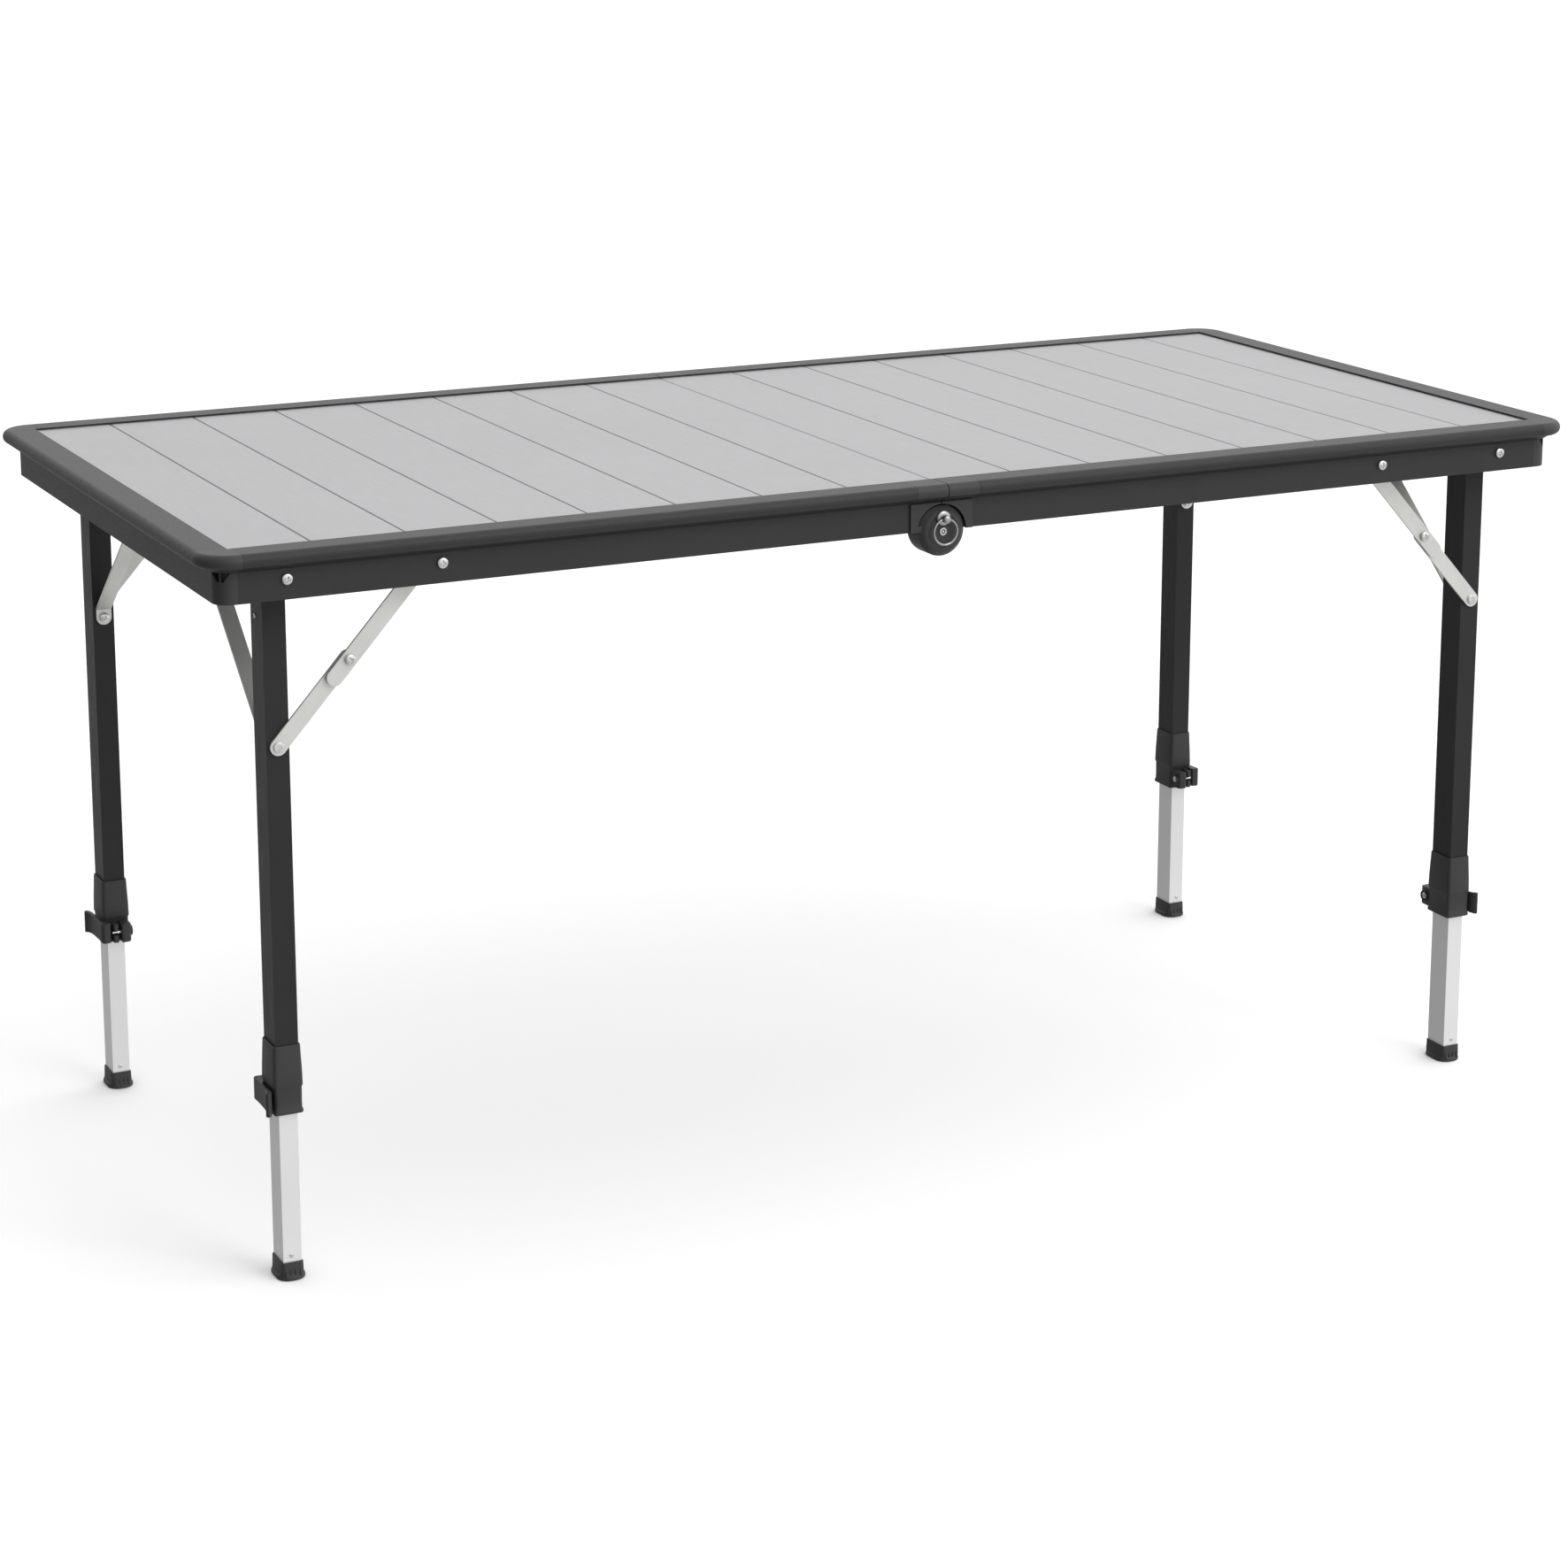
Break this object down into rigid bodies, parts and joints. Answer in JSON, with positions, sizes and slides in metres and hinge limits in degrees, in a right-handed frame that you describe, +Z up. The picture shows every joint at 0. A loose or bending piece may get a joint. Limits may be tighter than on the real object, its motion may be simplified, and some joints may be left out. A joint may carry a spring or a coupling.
{
  "type": "folding table",
  "caption": "Low folding picnic table: slatted metal top in two hinged halves, dark rounded frame, telescopic legs with cam collars, folding stays and braces.",
  "frame": {"origin": "floor level, under the middle of the open table top", "axes": "+X along the table's length to the right half, +Y to the back long side, +Z up"},
  "size_m": [1.4, 0.665, 0.67],
  "materials": {
    "frame_dark": "dark grey anodised, satin",
    "leg_dark": "black anodised, satin",
    "slat_aluminium": "fine brushed, light grey",
    "tube_aluminium": "satin, silver",
    "stay_steel": "zinc plated",
    "fastener_steel": "plain, slightly polished",
    "ring_chrome": "bright plated",
    "plastic_dark": "fine matt grain"
  },
  "bodies": {
    "left_half": {"left_front_rail": "frame_dark", "left_back_rail": "frame_dark", "left_end_rail": "frame_dark", "left_corner_front": "plastic_dark", "left_corner_back": "plastic_dark", "left_knuckle_front": "plastic_dark", "left_knuckle_back": "plastic_dark", "left_slats": "slat_aluminium", "left_screws": "fastener_steel"},
    "right_half": {"right_front_rail": "frame_dark", "right_back_rail": "frame_dark", "right_end_rail": "frame_dark", "right_corner_front": "plastic_dark", "right_corner_back": "plastic_dark", "right_knuckle_front": "plastic_dark", "right_knuckle_back": "plastic_dark", "right_slats": "slat_aluminium", "right_screws": "fastener_steel"},
    "left_legs": {"left_crossbar": "leg_dark", "left_leg_rivets": "fastener_steel", "fl_leg": "leg_dark", "fl_brace": "stay_steel", "fl_collar": "plastic_dark", "bl_leg": "leg_dark", "bl_brace": "stay_steel", "bl_collar": "plastic_dark"},
    "right_legs": {"right_crossbar": "leg_dark", "right_leg_rivets": "fastener_steel", "fr_leg": "leg_dark", "fr_brace": "stay_steel", "fr_collar": "plastic_dark", "br_leg": "leg_dark", "br_brace": "stay_steel", "br_collar": "plastic_dark"},
    "fl_inner_leg": {"fl_inner": "tube_aluminium", "fl_foot": "plastic_dark"},
    "bl_inner_leg": {"bl_inner": "tube_aluminium", "bl_foot": "plastic_dark"},
    "fr_inner_leg": {"fr_inner": "tube_aluminium", "fr_foot": "plastic_dark"},
    "br_inner_leg": {"br_inner": "tube_aluminium", "br_foot": "plastic_dark"},
    "fl_cam_lever": {"fl_lever": "plastic_dark"},
    "bl_cam_lever": {"bl_lever": "plastic_dark"},
    "fr_cam_lever": {"fr_lever": "plastic_dark"},
    "br_cam_lever": {"br_lever": "plastic_dark"},
    "fl_stay_upper": {"fl_upper_link": "stay_steel"},
    "bl_stay_upper": {"bl_upper_link": "stay_steel"},
    "fr_stay_upper": {"fr_upper_link": "stay_steel"},
    "br_stay_upper": {"br_upper_link": "stay_steel"},
    "fl_stay_lower": {"fl_lower_link": "stay_steel"},
    "bl_stay_lower": {"bl_lower_link": "stay_steel"},
    "fr_stay_lower": {"fr_lower_link": "stay_steel"},
    "br_stay_lower": {"br_lower_link": "stay_steel"},
    "front_lock_pin": {"front_pin": "fastener_steel"},
    "front_pull_ring": {"front_ring": "ring_chrome"},
    "back_lock_pin": {"back_pin": "fastener_steel"},
    "back_pull_ring": {"back_ring": "ring_chrome"}
  },
  "joints": [
    {"name": "half_fold", "type": "hinge", "parent": "left_half", "child": "right_half", "pos_m": [0, 0, 0.6245], "axis": [0, 1, 0], "range_deg": [0, 85]},
    {"name": "left_leg_fold", "type": "hinge", "parent": "left_half", "child": "left_legs", "pos_m": [-0.623, 0, 0.643], "axis": [0, -1, 0], "range_deg": [0, 90]},
    {"name": "right_leg_fold", "type": "hinge", "parent": "right_half", "child": "right_legs", "pos_m": [0.623, 0, 0.643], "axis": [0, 1, 0], "range_deg": [0, 90]},
    {"name": "fl_leg_slide", "type": "slide", "parent": "left_legs", "child": "fl_inner_leg", "axis": [0, 0, 1], "range_m": [0, 0.135]},
    {"name": "bl_leg_slide", "type": "slide", "parent": "left_legs", "child": "bl_inner_leg", "axis": [0, 0, 1], "range_m": [0, 0.135]},
    {"name": "fr_leg_slide", "type": "slide", "parent": "right_legs", "child": "fr_inner_leg", "axis": [0, 0, 1], "range_m": [0, 0.135]},
    {"name": "br_leg_slide", "type": "slide", "parent": "right_legs", "child": "br_inner_leg", "axis": [0, 0, 1], "range_m": [0, 0.135]},
    {"name": "fl_lever_turn", "type": "hinge", "parent": "left_legs", "child": "fl_cam_lever", "pos_m": [-0.6357, -0.24, 0.16775], "axis": [0, 0, -1], "range_deg": [0, 90]},
    {"name": "bl_lever_turn", "type": "hinge", "parent": "left_legs", "child": "bl_cam_lever", "pos_m": [-0.6357, 0.24, 0.16775], "axis": [0, 0, 1], "range_deg": [0, 90]},
    {"name": "fr_lever_turn", "type": "hinge", "parent": "right_legs", "child": "fr_cam_lever", "pos_m": [0.6357, -0.24, 0.16775], "axis": [0, 0, 1], "range_deg": [0, 90]},
    {"name": "br_lever_turn", "type": "hinge", "parent": "right_legs", "child": "br_cam_lever", "pos_m": [0.6357, 0.24, 0.16775], "axis": [0, 0, -1], "range_deg": [0, 90]},
    {"name": "fl_stay_top", "type": "hinge", "parent": "left_half", "child": "fl_stay_upper", "pos_m": [-0.484, -0.2857, 0.643], "axis": [0, -1, 0], "range_deg": [0, 132]},
    {"name": "fl_stay_knee", "type": "hinge", "parent": "fl_stay_upper", "child": "fl_stay_lower", "pos_m": [-0.55884, -0.2857, 0.55954], "axis": [0, 1, 0], "range_deg": [0, 180.5]},
    {"name": "bl_stay_top", "type": "hinge", "parent": "left_half", "child": "bl_stay_upper", "pos_m": [-0.484, 0.2857, 0.643], "axis": [0, -1, 0], "range_deg": [0, 132]},
    {"name": "bl_stay_knee", "type": "hinge", "parent": "bl_stay_upper", "child": "bl_stay_lower", "pos_m": [-0.55884, 0.2857, 0.55954], "axis": [0, 1, 0], "range_deg": [0, 180.5]},
    {"name": "fr_stay_top", "type": "hinge", "parent": "right_half", "child": "fr_stay_upper", "pos_m": [0.484, -0.2857, 0.643], "axis": [0, 1, 0], "range_deg": [0, 132]},
    {"name": "fr_stay_knee", "type": "hinge", "parent": "fr_stay_upper", "child": "fr_stay_lower", "pos_m": [0.55884, -0.2857, 0.55954], "axis": [0, -1, 0], "range_deg": [0, 180.5]},
    {"name": "br_stay_top", "type": "hinge", "parent": "right_half", "child": "br_stay_upper", "pos_m": [0.484, 0.2857, 0.643], "axis": [0, 1, 0], "range_deg": [0, 132]},
    {"name": "br_stay_knee", "type": "hinge", "parent": "br_stay_upper", "child": "br_stay_lower", "pos_m": [0.55884, 0.2857, 0.55954], "axis": [0, -1, 0], "range_deg": [0, 180.5]},
    {"name": "front_pin_pull", "type": "slide", "parent": "left_half", "child": "front_lock_pin", "axis": [0, -1, 0], "range_m": [0, 0.01]},
    {"name": "front_ring_swing", "type": "hinge", "parent": "front_lock_pin", "child": "front_pull_ring", "pos_m": [0, -0.3259, 0.637], "axis": [-1, 0, 0], "range_deg": [0, 80]},
    {"name": "back_pin_pull", "type": "slide", "parent": "left_half", "child": "back_lock_pin", "axis": [0, 1, 0], "range_m": [0, 0.01]},
    {"name": "back_ring_swing", "type": "hinge", "parent": "back_lock_pin", "child": "back_pull_ring", "pos_m": [0, 0.3259, 0.637], "axis": [1, 0, 0], "range_deg": [0, 80]}
  ],
  "couplings": [
    {"joint": "fl_stay_top", "follows": "left_leg_fold", "ratio": 1.4654},
    {"joint": "fl_stay_knee", "follows": "left_leg_fold", "ratio": 2},
    {"joint": "bl_stay_top", "follows": "left_leg_fold", "ratio": 1.4654},
    {"joint": "bl_stay_knee", "follows": "left_leg_fold", "ratio": 2},
    {"joint": "fr_stay_top", "follows": "right_leg_fold", "ratio": 1.4654},
    {"joint": "fr_stay_knee", "follows": "right_leg_fold", "ratio": 2},
    {"joint": "br_stay_top", "follows": "right_leg_fold", "ratio": 1.4654},
    {"joint": "br_stay_knee", "follows": "right_leg_fold", "ratio": 2}
  ]
}
